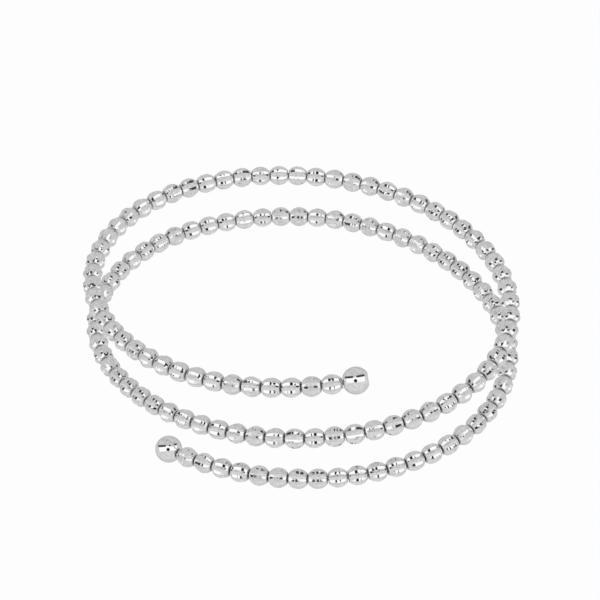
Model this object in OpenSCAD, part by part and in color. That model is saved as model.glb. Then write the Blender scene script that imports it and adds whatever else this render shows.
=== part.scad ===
// Wrap bracelet: small round metal beads strung on a springy wire coil of a little
// over two turns, with a larger ball closing each end. It lies on its side, as it
// rests on a table after being taken off the wrist.
// Lengths are in millimetres. +Z is up and runs through the wrist opening, the long
// axis of the oval lies along X, and the origin is on the table under the middle.
// Angles run counterclockwise seen from above, in degrees, starting at +X.

/* [Beads] */
// Diameter of one bead round its middle
bead_d = 3.2; // [3:0.05:3.3]
// Length of the body of one bead, between its flat ends
bead_length = 2.6; // [2.4:0.05:2.7]
// Radius of the bulge of a bead seen from the side
bead_bulge = 1.75; // [1.65:0.05:2.4]
// Diameter of the plain collar that holds a bead off its neighbour
collar_d = 1.6; // [1.4:0.05:1.8]
// Distance from the middle of one bead to the middle of the next
bead_pitch = 3.05; // [3.05:0.05:3.2]
// Diameter of the hole through the collars
collar_bore_d = 1.05; // [1:0.01:1.05]
// Diameter of the wider chamber inside a bead
chamber_d = 1.2; // [1.2:0.01:1.3]
// Length of the chamber inside a bead
chamber_length = 1.8; // [1.6:0.1:2]
// Number of beads in each of the fifteen runs
beads_per_run = 9; // [7:1:9]

/* [End balls] */
// Diameter of the ball at each end
ball_d = 4.2; // [4:0.1:4.4]
// Length of the ball along the wire, between its two small flats
ball_length = 3.75; // [3.2:0.05:3.8]
// Diameter of the blind hole that takes the end of the wire
ball_bore_d = 1; // [0.95:0.01:1.1]

/* [Spring wire] */
// Diameter of the wire
wire_d = 0.8; // [0.6:0.05:0.8]

/* [Coil seen from above] */
// Mean radius of the coil at the middle of its length
coil_radius = 29.95; // [28:0.05:32]
// How much longer the oval is than a circle, measured on the radius
oval = 3; // [1:0.1:4]
// How much squarer than an oval the outline is, measured on the radius
squareness = 0.25; // [0:0.05:0.6]
// Change of the mean radius over one turn
radius_step = -0.1; // [-0.3:0.1:0.3]
// Widening of the coil towards both of its ends
radius_bow = 1.1; // [0.6:0.1:1.4]
// Change of the oval over one turn
oval_step = -0.25; // [-0.4:0.05:0]
// Turning of the oval over one turn, measured on the radius
oval_twist = 0.65; // [0.3:0.05:0.9]
// Sideways shift of the coil over one turn, along X
shift_x = 0.8; // [0.4:0.1:1.2]
// Sideways shift of the coil over one turn, along Y
shift_y = 1.4; // [0.8:0.1:1.6]
// Angle at which the lowest bead lies
start_angle = 250.5; // [246:0.5:256]

/* [Coil seen from the side] */
// Rise of the coil over one turn
rise = 9; // [8:0.1:10]
// Lean of the coil, as a share of the steady rise
lean = 1.6; // [1.4:0.05:1.7]
// Angle at which the leaning coil is level
level_angle = 7; // [4:1:12]
// Extra rise towards both ends
rise_bow = 2.5; // [2:0.1:3]
// How far the coil would sink below the table if the table did not stop it
sink = 1.35; // [1.1:0.05:1.35]
// Softness of the bend where the coil leaves the table
table_blend = 0.2; // [0.1:0.05:0.3]

/* [Clearances] */
// Gap between two pieces that meet face to face
piece_gap = 0.1; // [0.05:0.01:0.15]
// Depth left free beyond the wire in an end ball
wire_end_gap = 0.3; // [0.2:0.05:0.4]

/* [Hidden] */
runs = 15;
beads = runs * beads_per_run;
// Turns from the lowest bead to the point that the drifts along the coil start from
middle_turn = 1.08;
one_turn = 360;
round_facets = 48;
// Straight steps that the bulge of a bead is turned in
bulge_steps = 12;
wire_sides = 8;
// Length by which a cutter, or a bar that joins another, runs past its end
overrun = 0.1;
metal = [0.8, 0.8, 0.82];
spring_steel = [0.6, 0.61, 0.63];

// Place on the coil
function turn(angle) = (angle - start_angle) / one_turn - middle_turn;

function plan_radius(angle, u) =
    coil_radius + radius_step * u + radius_bow * u * u
    + (oval + oval_step * u) * cos(2 * angle)
    + oval_twist * u * sin(2 * angle)
    + squareness * cos(4 * angle);

// Height of the free coil, before the table stops it
function free_height(angle, u) =
    let (t = angle - one_turn - level_angle)
    rise * (t / one_turn - lean * sin(t) / (2 * PI)) - sink + rise_bow * u * u;

// Height above the table, always positive and equal to h well above the table
function above_table(h) = table_blend * ln(1 + exp(h / table_blend));

function coil_point(angle) =
    let (u = turn(angle), r = plan_radius(angle, u))
    [
        r * cos(angle) + shift_x * u,
        r * sin(angle) + shift_y * u,
        bead_d / 2 + above_table(free_height(angle, u))
    ];

// Steps along the coil
function coil_speed(angle) = norm(coil_point(angle + 0.5) - coil_point(angle - 0.5));

function step_along(angle, length) =
    let (halfway = angle + length / 2 / coil_speed(angle))
    angle + length / coil_speed(halfway);

// Distance from the middle of an end ball to the middle of the bead beside it
ball_pitch = ball_length / 2 + bead_pitch - bead_length / 2;

// Middles of the lower ball, of all beads in order, and of the upper ball
last = beads + 1;
free_spots = [
    for (
        i = 0, angle = step_along(start_angle, -ball_pitch);
        i <= last;
        angle = step_along(angle, i == 0 || i == last - 1 ? ball_pitch : bead_pitch),
        i = i + 1
    )
    coil_point(angle)
];

// The whole coil is moved so that its outline is centred and its lowest point is at 0
function coordinate(axis) = [for (p = free_spots) p[axis]];
function middle_of(values) = (min(values) + max(values)) / 2;
lowest_bead = min([for (i = [1 : beads]) free_spots[i][2]]) - bead_d / 2;
lowest_ball = min(free_spots[0][2], free_spots[last][2]) - ball_d / 2;
to_origin = [
    -middle_of(coordinate(0)), -middle_of(coordinate(1)), -min(lowest_bead, lowest_ball)
];
spots = [for (p = free_spots) p + to_origin];

function unit(v) = v / norm(v);
function towards(a, b, length) = a + length * unit(b - a);
function direction(i) = unit(spots[min(i + 1, last)] - spots[max(i - 1, 0)]);

// End of the collar that leaves bead i towards its neighbour j in the next run
function collar_end(i, j) =
    j == 0 || j == last
    ? towards(spots[j], spots[i], ball_length / 2 + piece_gap)
    : towards((spots[i] + spots[j]) / 2, spots[i], piece_gap / 2);

// Moves to p and turns the Z axis to point along v
module pointed(p, v) {
    translate(p)
        rotate([0, acos(v[2] / norm(v)), atan2(v[1], v[0])])
            children();
}

// A round bar from a to b
module bar(a, b, d) {
    pointed(a, b - a)
        cylinder(d = d, h = norm(b - a), $fn = round_facets);
}

// The body of a bead is a barrel turned about the wire
function bulge(z) = bead_d / 2 - bead_bulge + sqrt(bead_bulge * bead_bulge - z * z);

module bead_body(i) {
    side = [
        for (k = [0 : bulge_steps])
        let (z = bead_length * (k / bulge_steps - 0.5))
        [bulge(z), z]
    ];
    pointed(spots[i], direction(i))
        rotate_extrude($fn = round_facets)
            polygon(concat([[0, -bead_length / 2]], side, [[0, bead_length / 2]]));
}

// Bars along the straight lines between the middles of the beads. They start short of
// the middle of each bead, and run past the free ends of the run by extra.
module collar_bars(first, final, d, extra) {
    inset = chamber_length / 2 - overrun;
    for (i = [first : final - 1]) {
        bar(towards(spots[i], spots[i + 1], inset), towards(spots[i + 1], spots[i], inset), d);
    }
    low_end = collar_end(first, first - 1);
    high_end = collar_end(final, final + 1);
    bar(towards(spots[first], low_end, inset), towards(low_end, spots[first], -extra), d);
    bar(towards(spots[final], high_end, inset), towards(high_end, spots[final], -extra), d);
}

// One run of beads with the collars between them, bored right through
module bead_run(number) {
    first = 1 + (number - 1) * beads_per_run;
    final = number * beads_per_run;
    color(metal)
        difference() {
            union() {
                for (i = [first : final]) {
                    bead_body(i);
                }
                collar_bars(first, final, collar_d, 0);
            }
            for (i = [first : final]) {
                half = chamber_length / 2 * direction(i);
                bar(spots[i] - half, spots[i] + half, chamber_d);
            }
            collar_bars(first, final, collar_bore_d, overrun);
        }
}

// A ball with a small flat at each end, bored from the side that faces the beads
module end_ball(i, neighbour) {
    color(metal)
        pointed(spots[i], spots[neighbour] - spots[i])
            rotate_extrude($fn = round_facets)
                difference() {
                    intersection() {
                        circle(d = ball_d, $fn = round_facets);
                        translate([0, -ball_length / 2]) square([ball_d, ball_length]);
                    }
                    translate([0, -wire_end_gap]) square([ball_bore_d / 2, ball_length]);
                }
}

// The wire runs straight from one middle to the next, with a ring of points at each
function wire_ring(i) =
    let (
        side = unit(cross(direction(i), [0, 0, 1])),
        upright = cross(side, direction(i))
    )
    [
        for (k = [0 : wire_sides - 1])
        let (a = k * 360 / wire_sides)
        spots[i] + wire_d / 2 * (cos(a) * side + sin(a) * upright)
    ];

module core_wire() {
    n = wire_sides;
    points = [for (i = [0 : last]) each wire_ring(i)];
    walls = [
        for (i = [0 : last - 1])
        for (k = [0 : n - 1])
        let (a = i * n + k, b = i * n + (k + 1) % n)
        each [[a, b, b + n], [a, b + n, a + n]]
    ];
    start_face = [for (k = [n - 1 : -1 : 0]) k];
    end_face = [for (k = [0 : n - 1]) last * n + k];
    color(spring_steel)
        polyhedron(points = points, faces = concat([start_face], walls, [end_face]));
}

core_wire();
bead_run(1);  // beads_01
bead_run(2);  // beads_02
bead_run(3);  // beads_03
bead_run(4);  // beads_04
bead_run(5);  // beads_05
bead_run(6);  // beads_06
bead_run(7);  // beads_07
bead_run(8);  // beads_08
bead_run(9);  // beads_09
bead_run(10);  // beads_10
bead_run(11);  // beads_11
bead_run(12);  // beads_12
bead_run(13);  // beads_13
bead_run(14);  // beads_14
bead_run(15);  // beads_15
end_ball(0, 1);  // lower_end_ball
end_ball(last, last - 1);  // upper_end_ball
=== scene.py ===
import math

import bpy
import numpy as np
from mathutils import Matrix, Vector


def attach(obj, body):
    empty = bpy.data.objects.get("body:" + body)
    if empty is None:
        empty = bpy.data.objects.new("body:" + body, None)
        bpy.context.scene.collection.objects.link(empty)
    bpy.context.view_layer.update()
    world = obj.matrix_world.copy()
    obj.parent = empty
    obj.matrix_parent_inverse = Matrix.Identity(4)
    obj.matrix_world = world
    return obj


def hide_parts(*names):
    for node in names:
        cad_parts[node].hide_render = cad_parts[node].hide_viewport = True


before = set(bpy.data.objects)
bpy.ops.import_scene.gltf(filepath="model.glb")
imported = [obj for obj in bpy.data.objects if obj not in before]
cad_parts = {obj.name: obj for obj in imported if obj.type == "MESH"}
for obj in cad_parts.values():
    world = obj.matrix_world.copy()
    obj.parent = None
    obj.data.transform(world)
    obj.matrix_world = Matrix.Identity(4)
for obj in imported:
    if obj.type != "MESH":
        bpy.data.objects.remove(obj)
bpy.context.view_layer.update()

# Spring wire
# The coil that gives the bracelet its shape: hard drawn steel wire, 0.8 mm thick,
# wound in a little over two oval turns. It is hidden in the bores of the beads and
# shows only as a thread of dark metal in the narrow seams between their collars.

MM = 0.001
# The wire's path, as in the CAD, in millimetres and degrees. Seen from above it is an
# oval that drifts a little with each turn.
COIL_RADIUS = 29.95
RADIUS_STEP = -0.1
RADIUS_BOW = 1.1
OVAL = 3.0
OVAL_STEP = -0.25
OVAL_TWIST = 0.65
SQUARENESS = 0.25
SHIFT_X = 0.8
SHIFT_Y = 1.4
START_ANGLE = 250.5
MIDDLE_TURN = 1.08
# Seen from the side it leans as it climbs, and bends softly where it leaves the table.
RISE = 9.0
LEAN = 1.6
LEVEL_ANGLE = 7.0
RISE_BOW = 2.5
SINK = 1.35
TABLE_BLEND = 0.2
# The sizes of what is strung on it.
BEAD_COUNT = 135
BEAD_D = 3.2
BEAD_LENGTH = 2.6
BEAD_PITCH = 3.05
BALL_D = 4.2
BALL_LENGTH = 3.75


def coil_point(angle):
    """A point of the wire's middle line, in mm, at an angle in degrees."""
    a = math.radians(angle)
    turns = (angle - START_ANGLE) / 360 - MIDDLE_TURN
    radius = (COIL_RADIUS + RADIUS_STEP * turns + RADIUS_BOW * turns * turns
              + (OVAL + OVAL_STEP * turns) * math.cos(2 * a)
              + OVAL_TWIST * turns * math.sin(2 * a) + SQUARENESS * math.cos(4 * a))
    past_level = angle - 360 - LEVEL_ANGLE
    lean = LEAN * math.sin(math.radians(past_level)) / (2 * math.pi)
    height = RISE * (past_level / 360 - lean) - SINK + RISE_BOW * turns * turns
    above_table = TABLE_BLEND * math.log(1 + math.exp(height / TABLE_BLEND))
    return Vector((radius * math.cos(a) + SHIFT_X * turns,
                   radius * math.sin(a) + SHIFT_Y * turns,
                   BEAD_D / 2 + above_table))


def step_along(angle, length):
    """The angle reached after going a length along the wire."""
    def length_per_degree(at):
        # Half a degree to either side of the angle.
        return (coil_point(at + 0.5) - coil_point(at - 0.5)).length
    halfway = angle + length / 2 / length_per_degree(angle)
    return angle + length / length_per_degree(halfway)


# Middles of the lower ball, of all beads in the order they are strung, and of the
# upper ball, moved so that the outline is centred and the lowest point is at 0.
ball_pitch = BALL_LENGTH / 2 + BEAD_PITCH - BEAD_LENGTH / 2
angle = step_along(START_ANGLE, -ball_pitch)
places = [coil_point(angle)]
for pitch in [ball_pitch] + [BEAD_PITCH] * (BEAD_COUNT - 1) + [ball_pitch]:
    angle = step_along(angle, pitch)
    places.append(coil_point(angle))
low = [min(p[axis] for p in places) for axis in range(3)]
high = [max(p[axis] for p in places) for axis in range(3)]
lowest = min(min(p.z for p in places[1:-1]) - BEAD_D / 2, places[0].z - BALL_D / 2)
to_origin = Vector((-(low[0] + high[0]) / 2, -(low[1] + high[1]) / 2, -lowest))
places = [p + to_origin for p in places]


def colour(hex_code):
    """An sRGB hex colour as linear red, green, blue and alpha."""
    parts = [int(hex_code[k:k + 2], 16) / 255 for k in (1, 3, 5)]
    return [c / 12.92 if c < 0.04045 else ((c + 0.055) / 1.055) ** 2.4 for c in parts] + [1]


def add_node(tree, kind, settings=None, links=None):
    """Adds a node. Keys are sockets by name or number, a ramp's stops, or properties."""
    node = tree.nodes.new(kind)
    for key, value in (settings or {}).items():
        if key == "stops":
            elements = node.color_ramp.elements
            for k, (place, level) in enumerate(value):
                stop = elements[k] if k < len(elements) else elements.new(place)
                stop.position = place
                stop.color = (level, level, level, 1)
            while len(elements) > len(value):
                elements.remove(elements[-1])
        elif isinstance(key, int) or key in node.inputs:
            node.inputs[key].default_value = value
        else:
            setattr(node, key, value)
    for key, source in (links or {}).items():
        tree.links.new(source, node.inputs[key])
    return node.outputs


# Nearly all values of a noise texture lie between these two.
NOISE_LOW = 0.3
NOISE_HIGH = 0.7


def metal(name, hex_code, grain, roughness, ripple, depth, coordinates="Object"):
    """A bare metal. Its grain breaks up the gloss, and ripples bend the mirror images.

    Grain, ripple and depth are in mm, and roughness is its least and its most.
    """
    material = bpy.data.materials.new(name)
    material.use_nodes = True
    tree = material.node_tree
    tree.nodes.clear()
    where = add_node(tree, "ShaderNodeTexCoord")[coordinates]
    marks = add_node(tree, "ShaderNodeTexNoise",
                     {"Scale": 1 / (grain * MM), "Detail": 3.0}, {"Vector": where})
    gloss = add_node(tree, "ShaderNodeMapRange",
                     {"From Min": NOISE_LOW, "From Max": NOISE_HIGH,
                      "To Min": roughness[0], "To Max": roughness[1]},
                     {"Value": marks["Fac"]})
    ripples = add_node(tree, "ShaderNodeTexNoise",
                       {"Scale": 1 / (ripple * MM), "Detail": 1.0}, {"Vector": where})
    relief = add_node(tree, "ShaderNodeBump",
                      {"Distance": depth * MM}, {"Height": ripples["Fac"]})
    shine = add_node(tree, "ShaderNodeBsdfPrincipled",
                     {"Base Color": colour(hex_code), "Metallic": 1.0},
                     {"Roughness": gloss["Result"], "Normal": relief["Normal"]})
    add_node(tree, "ShaderNodeOutputMaterial", None, {"Surface": shine["BSDF"]})
    return material


# Hard drawn steel: a dull grey. The marks of the die are much finer than this grain,
# which is as coarse as it needs to be to show in the seams.
wire_steel = metal("drawn_spring_steel", "#8d8d8f", grain=0.1, roughness=(0.3, 0.45),
                   ripple=0.3, depth=0.002)
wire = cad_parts["core_wire"]
wire.data.materials.clear()
wire.data.materials.append(wire_steel)

# Silver beads
# Hollow beads of sterling silver, 3.2 mm across, pressed from tube so that a short plain
# collar is left at both ends. A diamond tool has cut ten V-shaped grooves lengthwise into
# each, in short flat strokes that mirror the room as separate white and black flashes.

RUN_COUNT = 15
BEAD_BULGE = 1.75  # radius of the barrel's side, seen lengthwise
COLLAR_D = 1.6
BORE_D = 1.05
SEAM = 0.12  # between the collars of two beads
SHOULDER = ((0.96, 1.35), (0.88, 1.41), (0.8, 1.45))  # radius, height from the middle
COLLAR_ROUND = 0.01
GROOVES = 10
GROOVE_DEPTH = 0.24
GROOVE_FADE = 0.7  # share of the depth that is lost at the ends of the barrel
STROKES = 6  # of the tool, one after another along the bead
UNEVEN = 0.04  # most that a stroke starts or ends too deep
RUN_OUT = 0.5  # share of the barrel where the flat strokes give way to a smooth curve
DISH_AROUND = 0.012  # hollow of one stroke across the flank
DISH_ALONG = 0.015  # and lengthwise
RIDGE_ROUND = 0.12  # share of a flank that looks rounded beside its ridge
MARK_STRETCH = 0.06  # how much narrower than long the marks of the tool are

# Corners round the bead are numbered, with ridges at even numbers and valleys at odd
# ones, and a straight flank runs from each to the next. The mesh has its points at the
# corners, halfway along the flanks, and close to the ridges, to keep their rounding thin.
corner_count = GROOVES * 2
around = np.array([n + s for n in range(0, corner_count, 2)
                   for s in (0, RIDGE_ROUND, 0.5, 1, 1.5, 2 - RIDGE_ROUND)])
columns = len(around)
ROWS_PER_STROKE = 3
barrel_rows = STROKES * ROWS_PER_STROKE
rng = np.random.default_rng(7)


def bulge(z):
    """Radius of the uncut bead at a height along its axis."""
    return BEAD_D / 2 - BEAD_BULGE + math.sqrt(BEAD_BULGE ** 2 - z * z)


def grooved_ring(z, uneven):
    """Points round the bead at a height, on straight flanks between ridges and valleys."""
    fade = 1 - GROOVE_FADE * (2 * z / BEAD_LENGTH) ** 2
    n = np.arange(corner_count + 1)
    radius = bulge(z) - fade * (n % 2 * GROOVE_DEPTH + uneven[n % corner_count])
    phi = math.pi * n / GROOVES
    corners = np.column_stack((radius * np.cos(phi), radius * np.sin(phi),
                               np.full(len(n), z)))
    n = around.astype(int)
    s = (around - n)[:, None]
    return corners[n] * (1 - s) + corners[n + 1] * s


def cut_barrel():
    """Rings of points about the Z axis, from one end of a bead to the other."""
    uneven = rng.uniform(0, UNEVEN, (STROKES + 1, corner_count))
    borders = [BEAD_LENGTH * (m / STROKES - 0.5) for m in range(STROKES + 1)]
    s = around % 1
    rings = []
    for row in range(barrel_rows + 1):
        m = min(row // ROWS_PER_STROKE, STROKES - 1)
        t = row / ROWS_PER_STROKE - m
        z = borders[m] * (1 - t) + borders[m + 1] * t
        flat = (grooved_ring(borders[m], uneven[m]) * (1 - t)
                + grooved_ring(borders[m + 1], uneven[m + 1]) * t)
        hollow = 4 * (DISH_AROUND * s * (1 - s) + DISH_ALONG * t * (1 - t))
        flat[:, :2] *= 1 - hollow[:, None] / (BEAD_D / 2)
        curved = grooved_ring(z, uneven[m] * (1 - t) + uneven[m + 1] * t)
        flatness = min((1 - abs(2 * z / BEAD_LENGTH)) / RUN_OUT, 1)
        rings.append(flat * flatness + curved * (1 - flatness))
    return rings


def circle(radius, height):
    """A plain ring with as many points as the cut rings."""
    phi = around * math.pi / GROOVES
    return np.column_stack((radius * np.cos(phi), radius * np.sin(phi),
                            np.full(columns, height)))


def bead_rings(reach_down, reach_up):
    """The rings of a whole bead in a closed loop: barrel, upper collar, bore, lower collar."""
    collar, bore = COLLAR_D / 2, BORE_D / 2
    upper = [circle(radius, height) for radius, height in SHOULDER]
    lower = [circle(radius, -height) for radius, height in reversed(SHOULDER)]
    plain = [circle(radius, height) for radius, height in (
        (collar, reach_up - COLLAR_ROUND), (collar - COLLAR_ROUND, reach_up),
        (bore, reach_up), (bore, -reach_down),
        (collar - COLLAR_ROUND, -reach_down), (collar, COLLAR_ROUND - reach_down))]
    return cut_barrel() + upper + plain + lower


def turned_axes(i):
    """Axes at place i, as columns: sideways, upright, and along the wire.

    They are left-handed and so mirror what they turn. Its faces are therefore listed
    clockwise, seen from outside, before the turn, to face outwards after it.
    """
    along = (places[min(i + 1, len(places) - 1)] - places[max(i - 1, 0)]).normalized()
    side = along.cross(Vector((0, 0, 1))).normalized()
    return np.array(Matrix((side, side.cross(along), along)).transposed())


# Bright silver: almost white, a mirror broken only by the marks of the tool. They are
# really finer, and are drawn coarse enough to show. In the seams between the beads, where no
# polishing wheel reaches, the silver is duller; its darker colour there is painted shade.
silver = metal("diamond_cut_silver", "#f4f4f4", grain=0.12, roughness=(0.04, 0.1),
               ripple=0.22, depth=0.015, coordinates="UV")
shaded_seam_silver = metal("seam_silver_painted_shade", "#cdcdcf", grain=0.2, roughness=(0.25, 0.45),
                    ripple=0.3, depth=0.004)

collar_reach = BEAD_PITCH / 2 - SEAM / 2
ball_reach = ball_pitch - BALL_LENGTH / 2 - SEAM
column_width = math.pi * BEAD_D * MM / columns
row_height = MARK_STRETCH * BEAD_LENGTH * MM / barrel_rows
spins = rng.uniform(0, 360 / GROOVES, BEAD_COUNT + 1)
beads_per_run = BEAD_COUNT // RUN_COUNT
for run in range(RUN_COUNT):
    points, faces, dull, sharp, marks = [], [], [], [], []
    for i in range(1 + run * beads_per_run, 1 + (run + 1) * beads_per_run):
        rings = bead_rings(ball_reach if i == 1 else collar_reach,
                           ball_reach if i == BEAD_COUNT else collar_reach)
        spin = np.array(Matrix.Rotation(math.radians(spins[i]), 3, "Z"))
        axes = turned_axes(i) @ spin
        start = len(points)
        points += [axes @ p + np.array(places[i]) for ring in rings for p in ring]
        for j in range(len(rings)):
            below = start + j * columns
            above = start + (j + 1) % len(rings) * columns
            in_seam = barrel_rows < j < len(rings) - 1
            between_strokes = j <= barrel_rows and j % ROWS_PER_STROKE == 0
            for k in range(columns):
                k_next = (k + 1) % columns
                faces.append((above + k, above + k_next, below + k_next, below + k))
                # Faces in the seams take the duller silver, darkened as painted shade between
                # the beads.
                dull.append(in_seam)
                # Each bead takes its tool marks from a place of its own.
                marks += [(run + i + column_width * (k + a), row_height * (j + b))
                          for a, b in ((0, 1), (1, 1), (1, 0), (0, 0))]
                if in_seam or between_strokes:
                    sharp.append((below + k, below + k_next))
                if j < barrel_rows and around[k] % 2 == 1:
                    sharp.append((below + k, above + k))
    name = "beads_%02d" % (run + 1)
    mesh = bpy.data.meshes.new("silver_" + name)
    mesh.from_pydata(np.array(points) * MM, [], faces)
    mesh.polygons.foreach_set("use_smooth", [True] * len(faces))
    mesh.polygons.foreach_set("material_index", [int(flag) for flag in dull])
    mesh.uv_layers.new(name="tool_marks").uv.foreach_set("vector", np.array(marks).ravel())
    sharp = {tuple(sorted(pair)) for pair in sharp}
    flags = [tuple(sorted(edge.vertices)) in sharp for edge in mesh.edges]
    mesh.attributes.new("sharp_edge", "BOOLEAN", "EDGE").data.foreach_set("value", flags)
    mesh.materials.append(silver)
    mesh.materials.append(shaded_seam_silver)
    row = bpy.data.objects.new(mesh.name, mesh)
    bpy.context.collection.objects.link(row)
    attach(row, "root")
    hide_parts(name)

# End balls
# A larger plain ball of the same silver closes each end of the row: a hollow ball
# with a small flat where it meets the last bead, glued over the end of the wire and
# polished smooth, so it mirrors the whole room in small.

BALL_SEGMENTS = 64
BALL_RINGS = 40
BALL_BORE_D = 1.0
BORE_FLOOR = -0.3  # height of the bore's end, from the ball's middle
EDGE_ROUND = 0.05
SHARP_ANGLE = 40


def ball_profile():
    """Radius and height pairs: up the bore, over the ball and across its far flat."""
    radius, reach, bore = BALL_D / 2, BALL_LENGTH / 2, BALL_BORE_D / 2
    rim = math.sqrt(radius ** 2 - reach ** 2)
    start = math.acos((reach - EDGE_ROUND) / radius)
    thetas = np.linspace(start, math.pi - start, BALL_RINGS + 1)
    curve = [(radius * math.sin(theta), radius * math.cos(theta)) for theta in thetas]
    return ([(0, BORE_FLOOR), (bore, BORE_FLOOR), (bore, reach), (rim, reach)]
            + curve + [(rim, -reach), (0, -reach)])


# The same silver with a mirror polish and a faint haze.
polished_silver = metal("polished_silver", "#f4f4f4", grain=0.6, roughness=(0.03, 0.07),
                        ripple=0.8, depth=0.001)

# Both balls are bored from the side that the beads are on.
for name, i, facing in (("lower_end_ball", 0, 1), ("upper_end_ball", len(places) - 1, -1)):
    axes = turned_axes(i) * (1, facing, facing)
    points, faces, rings = [], [], []
    for radius, height in ball_profile():
        count = BALL_SEGMENTS if radius > 0 else 1
        rings.append([len(points) + k for k in range(count)])
        for k in range(count):
            phi = 2 * math.pi * k / BALL_SEGMENTS
            point = np.array([radius * math.cos(phi), radius * math.sin(phi), height])
            points.append(axes @ point + np.array(places[i]))
    for ring, ring_next in zip(rings, rings[1:]):
        for k in range(BALL_SEGMENTS):
            k_next = (k + 1) % BALL_SEGMENTS
            corners = [ring[k % len(ring)], ring[k_next % len(ring)],
                       ring_next[k_next % len(ring_next)], ring_next[k % len(ring_next)]]
            # Two corners on a ring of one point are the same, which leaves a triangle.
            faces.append(tuple(dict.fromkeys(corners)))
    mesh = bpy.data.meshes.new("silver_" + name)
    mesh.from_pydata(np.array(points) * MM, [], faces)
    mesh.polygons.foreach_set("use_smooth", [True] * len(faces))
    mesh.set_sharp_from_angle(angle=math.radians(SHARP_ANGLE))
    mesh.materials.append(polished_silver)
    ball = bpy.data.objects.new(mesh.name, mesh)
    bpy.context.collection.objects.link(ball)
    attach(ball, "root")
    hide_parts(name)

# Studio
# A plain pale table and the white tent that silver is photographed in: soft grey
# cloth all round, a bright panel on the camera's side with the lens looking through
# it, and one thin dark seam above the panel.

CAMERA_AIM = Vector((0.17, 0.5, 11.08)) * MM
CAMERA_TURN = 20.905
CAMERA_HEIGHT = 47.1
CAMERA_ROLL = -5.89
CAMERA_DISTANCE = 489.2 * MM
CAMERA_LENS = 186
CAMERA_CLIP = (0.01, 20)
SENSOR_WIDTH = 36

turn, height, roll = (math.radians(v) for v in (CAMERA_TURN, CAMERA_HEIGHT, CAMERA_ROLL))
to_camera = Vector((math.sin(turn) * math.cos(height), -math.cos(turn) * math.cos(height),
                    math.sin(height)))
level_right = Vector((math.cos(turn), math.sin(turn), 0))
level_up = level_right.cross(-to_camera)
camera_right = level_right * math.cos(roll) + level_up * math.sin(roll)
camera_up = level_up * math.cos(roll) - level_right * math.sin(roll)
camera = bpy.data.objects.new("camera", bpy.data.cameras.new("camera"))
camera_axes = Matrix((camera_right, camera_up, to_camera)).transposed().to_4x4()
camera.matrix_world = Matrix.Translation(CAMERA_AIM + to_camera * CAMERA_DISTANCE) @ camera_axes
camera.data.lens = CAMERA_LENS
camera.data.sensor_width = SENSOR_WIDTH
camera.data.clip_start, camera.data.clip_end = CAMERA_CLIP
bpy.context.collection.objects.link(camera)
bpy.context.scene.camera = camera

# The tent is drawn on the world by direction. A point of the tent is named by the
# place where a polished ball would mirror it to the camera: 0, 0 is the camera itself,
# and the ball's rim is at 1. Four edges give where a part begins to show, where it is
# full, where it begins to fade and where it has gone.
CLOTH_ABOVE = 0.61
CLOTH_BELOW = 0.67
CLOTH_ROWS = (-0.1, 0.3)
CLOTH_BEHIND = 0.8
BEHIND_RADIUS = (0.8, 1.0)
FOLD_SIZE = 0.35
FOLD_SHADE = (0.9, 1.18)
PANEL_BRIGHT = 1.1
PANEL_ROWS = (-0.15, -0.08, 0.24, 0.27)
PANEL_COLUMNS = (-0.72, -0.66, 0.62, 0.68)
SEAM_DARK = 0.05
SEAM_ROWS = (0.2, 0.225, 0.35, 0.375)
SEAM_LEFT = (-0.78, -0.72, -0.19, -0.16)
SEAM_RIGHT = (0.04, 0.07, 0.62, 0.68)
SEAM_LIFT = 0.04  # of the right end of the seam
LENS_DARK = 0.02
LENS_AT = (-0.03, 0.0)
LENS_RADIUS = (0.11, 0.14)


def ramp_place(x):
    """A place from -1 to 1 across the ball as a place from 0 to 1 on a ramp."""
    return 0.5 + x / 2


def ramp_window(edges):
    """Ramp stops that are 1 between the two inner edges and 0 outside the outer ones."""
    return [(ramp_place(edge), level) for edge, level in zip(edges, (0, 1, 1, 0))]


world = bpy.data.worlds.new("tent")
bpy.context.scene.world = world
world.use_nodes = True
tree = world.node_tree
tree.nodes.clear()

# The ball's surface faces halfway between the tent's point and the camera. How far it
# leans to the right and up, from -1 to 1, is the place on the ball, here from 0 to 1.
direction = add_node(tree, "ShaderNodeTexCoord")["Generated"]
halfway = add_node(tree, "ShaderNodeVectorMath",
                   {"operation": "ADD", 1: to_camera}, {0: direction})
normal = add_node(tree, "ShaderNodeVectorMath", {"operation": "NORMALIZE"}, {0: halfway[0]})
sides = []
for axis in (level_right, level_up):
    part = add_node(tree, "ShaderNodeVectorMath",
                    {"operation": "DOT_PRODUCT", 1: axis}, {0: normal[0]})
    sides.append(add_node(tree, "ShaderNodeMath",
                          {"operation": "MULTIPLY_ADD", 1: 0.5, 2: 0.5},
                          {0: part["Value"]})[0])
across, upward = sides
spot = add_node(tree, "ShaderNodeCombineXYZ", None, {"X": across, "Y": upward})[0]
lens_spot = [ramp_place(x) for x in LENS_AT] + [0]
from_lens = add_node(tree, "ShaderNodeVectorMath",
                     {"operation": "DISTANCE", 1: lens_spot}, {0: spot})["Value"]
middle_spot = (ramp_place(0), ramp_place(0), 0)
from_middle = add_node(tree, "ShaderNodeVectorMath",
                       {"operation": "DISTANCE", 1: middle_spot}, {0: spot})["Value"]
lift = add_node(tree, "ShaderNodeMapRange",
                {"From Min": ramp_place(0), "To Max": SEAM_LIFT / 2}, {"Value": across})[0]
seam_height = add_node(tree, "ShaderNodeMath",
                       {"operation": "SUBTRACT"}, {0: upward, 1: lift})[0]

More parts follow.
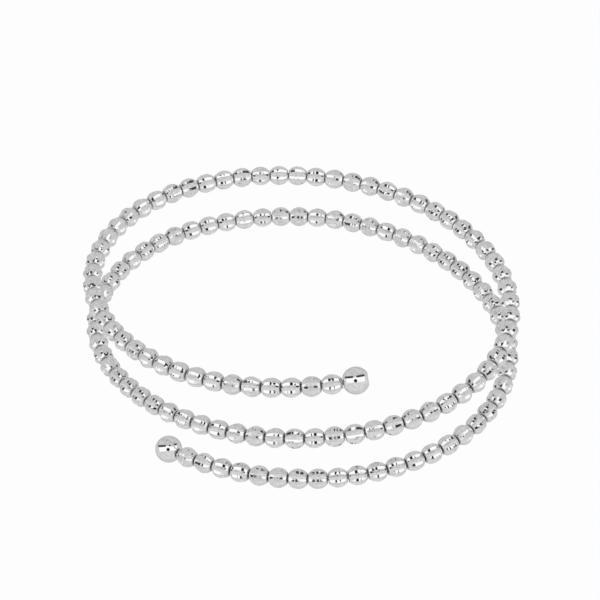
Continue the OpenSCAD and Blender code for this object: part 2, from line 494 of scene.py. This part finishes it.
# The cloth, a little darker above and behind, and shaded by its folds.
cloth_stops = [(ramp_place(CLOTH_ROWS[0]), CLOTH_BELOW),
               (ramp_place(CLOTH_ROWS[1]), CLOTH_ABOVE)]
light = add_node(tree, "ShaderNodeValToRGB", {"stops": cloth_stops}, {"Fac": upward})[0]
behind_stops = [(BEHIND_RADIUS[0] / 2, 1), (BEHIND_RADIUS[1] / 2, CLOTH_BEHIND)]
behind = add_node(tree, "ShaderNodeValToRGB", {"stops": behind_stops}, {"Fac": from_middle})[0]
light = add_node(tree, "ShaderNodeMath", {"operation": "MULTIPLY"}, {0: light, 1: behind})[0]
folds = add_node(tree, "ShaderNodeTexNoise",
                 {"Scale": 1 / FOLD_SIZE, "Detail": 1.0}, {"Vector": direction})
folds = add_node(tree, "ShaderNodeMapRange",
                 {"From Min": NOISE_LOW, "From Max": NOISE_HIGH,
                  "To Min": FOLD_SHADE[0], "To Max": FOLD_SHADE[1]},
                 {"Value": folds["Fac"]})[0]
light = add_node(tree, "ShaderNodeMath", {"operation": "MULTIPLY"}, {0: light, 1: folds})[0]

# The panel, the seam and the lens, each over what comes before it.
seam_columns = ramp_window(SEAM_LEFT) + ramp_window(SEAM_RIGHT)
lens_stops = [(LENS_RADIUS[0] / 2, 1), (LENS_RADIUS[1] / 2, 0)]
for height_value, height_stops, side_stops, level in (
        (upward, ramp_window(PANEL_ROWS), ramp_window(PANEL_COLUMNS), PANEL_BRIGHT),
        (seam_height, ramp_window(SEAM_ROWS), seam_columns, SEAM_DARK),
        (from_lens, lens_stops, [(0, 1)], LENS_DARK)):
    in_height = add_node(tree, "ShaderNodeValToRGB",
                         {"stops": height_stops}, {"Fac": height_value})[0]
    in_side = add_node(tree, "ShaderNodeValToRGB", {"stops": side_stops}, {"Fac": across})[0]
    mask = add_node(tree, "ShaderNodeMath",
                    {"operation": "MULTIPLY"}, {0: in_height, 1: in_side})[0]
    light = add_node(tree, "ShaderNodeMix",
                     {"data_type": "FLOAT", 3: level}, {0: mask, 2: light})[0]
glow = add_node(tree, "ShaderNodeBackground", {"Color": (1, 1, 1, 1)}, {"Strength": light})
add_node(tree, "ShaderNodeOutputWorld", None, {"Surface": glow[0]})

# The table and the wall behind it, of white paper so evenly lit that they shade to
# plain white. The silver mirrors the tent and not them.
TABLE_WHITE = "#fdfdfd"
TABLE_RADIUS = 3.0
WALL_RINGS = 24
WALL_SEGMENTS = 96
paper = bpy.data.materials.new("white_paper")
paper.use_nodes = True
tree = paper.node_tree
tree.nodes.clear()
glow = add_node(tree, "ShaderNodeEmission", {"Color": colour(TABLE_WHITE), "Strength": 1.0})
add_node(tree, "ShaderNodeOutputMaterial", None, {"Surface": glow[0]})
for name, thetas in (("table", (0.0, math.pi / 2)),
                     ("wall", np.linspace(0, math.pi / 2, WALL_RINGS + 1))):
    points, faces = [], []
    for theta in thetas:
        rise = 0.0 if name == "table" else TABLE_RADIUS * math.sin(theta)
        radius = TABLE_RADIUS * (math.sin(theta) if name == "table" else math.cos(theta))
        for k in range(WALL_SEGMENTS):
            phi = 2 * math.pi * k / WALL_SEGMENTS
            points.append((radius * math.cos(phi), radius * math.sin(phi), rise))
    for j in range(len(thetas) - 1):
        for k in range(WALL_SEGMENTS):
            k_next = (k + 1) % WALL_SEGMENTS
            faces.append([ring * WALL_SEGMENTS + n for ring, n in
                          ((j, k), (j, k_next), (j + 1, k_next), (j + 1, k))])
    mesh = bpy.data.meshes.new(name)
    mesh.from_pydata(points, [], faces)
    mesh.materials.append(paper)
    backdrop = bpy.data.objects.new(name, mesh)
    bpy.context.collection.objects.link(backdrop)
    backdrop.visible_glossy = False
    backdrop.visible_diffuse = False

bpy.context.scene.view_settings.view_transform = "Standard"
bpy.context.scene.view_settings.look = "None"
